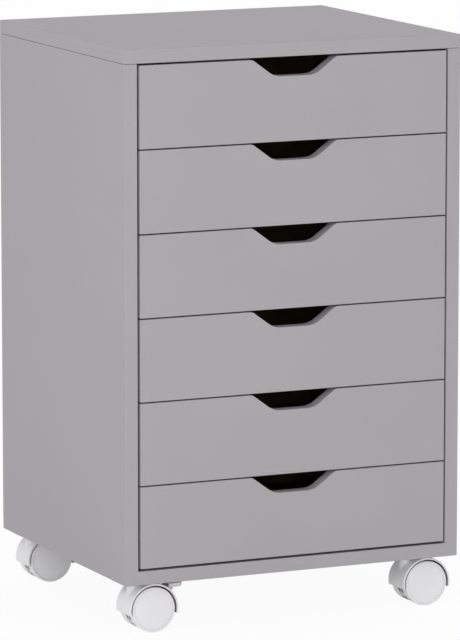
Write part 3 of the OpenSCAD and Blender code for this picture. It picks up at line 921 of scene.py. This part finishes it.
# ---- Floor, light and camera ----
# A plain white floor that keeps the cabinet's shadow, even light from all round, a large high lamp and
# a small low one, both from the front left, and a long lens. Places and sizes here are in metres.
floor_reach = 20
floor_white = (0.94, 0.94, 0.94, 1)
pure_white = (1, 1, 1, 1)
zenith_light = 0.75
horizon_light = 1.1
horizon_fall = 2.5
floor_shadow_share = 0.055
high_lamp_power = 8.5
low_lamp_power = 6.6
lamp_target = (0, 0, 0.35)
camera_place = np.array([-2.35583, -5.15604, 1.22417])
camera_yaw = 0.429153
camera_pitch = 0.160084
camera_lens = 289.69


def sees_background(tree):
    """One where a ray comes straight from the camera, a glossy surface or glass, zero elsewhere."""
    path = tree.nodes.new("ShaderNodeLightPath")
    first = tree.nodes.new("ShaderNodeMath")
    first.operation = "MAXIMUM"
    wire(tree, path, "Is Camera Ray", first, 0)
    wire(tree, path, "Is Glossy Ray", first, 1)
    second = tree.nodes.new("ShaderNodeMath")
    second.operation = "MAXIMUM"
    wire(tree, first, "Value", second, 0)
    wire(tree, path, "Is Transmission Ray", second, 1)
    return second


def faded(tree, strength, behind, before):
    """A mix of two shaders' outputs, from the one behind at strength 0 to the one before at 1."""
    mix = tree.nodes.new("ShaderNodeMixShader")
    wire(tree, strength, "Value", mix, "Fac")
    tree.links.new(behind, mix.inputs[1])
    tree.links.new(before, mix.inputs[2])
    return mix


floor_finish, floor_tree, floor_shader = new_finish("floor_paper")
floor_shader.inputs["Base Color"].default_value = floor_white
floor_shader.inputs["Roughness"].default_value = 0.9
floor_shader.inputs["Specular IOR Level"].default_value = 0
glow = floor_tree.nodes.new("ShaderNodeEmission")
glow.inputs["Color"].default_value = pure_white
glow.inputs["Strength"].default_value = 1
glow_share = floor_tree.nodes.new("ShaderNodeMath")
glow_share.operation = "MULTIPLY"
glow_share.inputs[1].default_value = 1 - floor_shadow_share
wire(floor_tree, sees_background(floor_tree), "Value", glow_share, 0)
paper = faded(floor_tree, glow_share, floor_shader.outputs["BSDF"], glow.outputs["Emission"])
wire(floor_tree, paper, "Shader", floor_tree.nodes["Material Output"], "Surface")
floor_points = floor_reach * np.array([(-1, -1, 0), (1, -1, 0), (1, 1, 0), (-1, 1, 0)], float)
floor_mesh = bpy.data.meshes.new("floor")
floor_mesh.from_pydata(floor_points.tolist(), [], [(0, 1, 2, 3)])
floor_mesh.materials.append(floor_finish)
floor = bpy.data.objects.new("floor", floor_mesh)
bpy.context.scene.collection.objects.link(floor)

world = bpy.data.worlds.new("studio")
world.use_nodes = True
sky_tree = world.node_tree
sky = sky_tree.nodes["Background"]
sky.inputs["Color"].default_value = pure_white
direction = sky_tree.nodes.new("ShaderNodeTexCoord")
direction_parts = sky_tree.nodes.new("ShaderNodeSeparateXYZ")
wire(sky_tree, direction, "Generated", direction_parts, "Vector")
lowness = sky_tree.nodes.new("ShaderNodeMath")
lowness.operation = "SUBTRACT"
lowness.inputs[0].default_value = 1
lowness.use_clamp = True
wire(sky_tree, direction_parts, "Z", lowness, 1)
fall = sky_tree.nodes.new("ShaderNodeMath")
fall.operation = "POWER"
fall.inputs[1].default_value = horizon_fall
wire(sky_tree, lowness, "Value", fall, 0)
brightness = sky_tree.nodes.new("ShaderNodeMapRange")
brightness.inputs["To Min"].default_value = zenith_light
brightness.inputs["To Max"].default_value = horizon_light
wire(sky_tree, fall, "Value", brightness, "Value")
wire(sky_tree, brightness, "Result", sky, "Strength")
backdrop = sky_tree.nodes.new("ShaderNodeBackground")
backdrop.inputs["Color"].default_value = pure_white
backdrop.inputs["Strength"].default_value = 1
studio = faded(
    sky_tree, sees_background(sky_tree), sky.outputs["Background"], backdrop.outputs["Background"])
wire(sky_tree, studio, "Shader", sky_tree.nodes["World Output"], "Surface")
bpy.context.scene.world = world


def aimed(thing, place, target):
    """The thing stands at place, and its -z looks at the target."""
    thing.location = place
    thing.rotation_euler = (Vector(target) - Vector(place)).to_track_quat("-Z", "Y").to_euler()
    bpy.context.scene.collection.objects.link(thing)
    return thing


lamps = (
    ("high_softbox", high_lamp_power, 1.5, (-2.2, -2.4, 1.9)),
    ("low_softbox", low_lamp_power, 0.36, (-1.3, -1.9, 0.2)),
)
for name, power, size, place in lamps:
    lamp_data = bpy.data.lights.new(name, "AREA")
    lamp_data.shape = "SQUARE"
    lamp_data.size = size
    lamp_data.energy = power
    aimed(bpy.data.objects.new(name, lamp_data), place, lamp_target)

camera_forward = np.array([
    np.sin(camera_yaw) * np.cos(camera_pitch),
    np.cos(camera_yaw) * np.cos(camera_pitch),
    -np.sin(camera_pitch),
])
camera_target = camera_place + camera_forward
camera_data = bpy.data.cameras.new("camera")
camera_data.sensor_width = 36
camera_data.lens = camera_lens
camera_data.clip_end = 100
camera = bpy.data.objects.new("camera", camera_data)
bpy.context.scene.camera = aimed(camera, camera_place.tolist(), camera_target.tolist())
bpy.context.scene.view_settings.view_transform = "Standard"
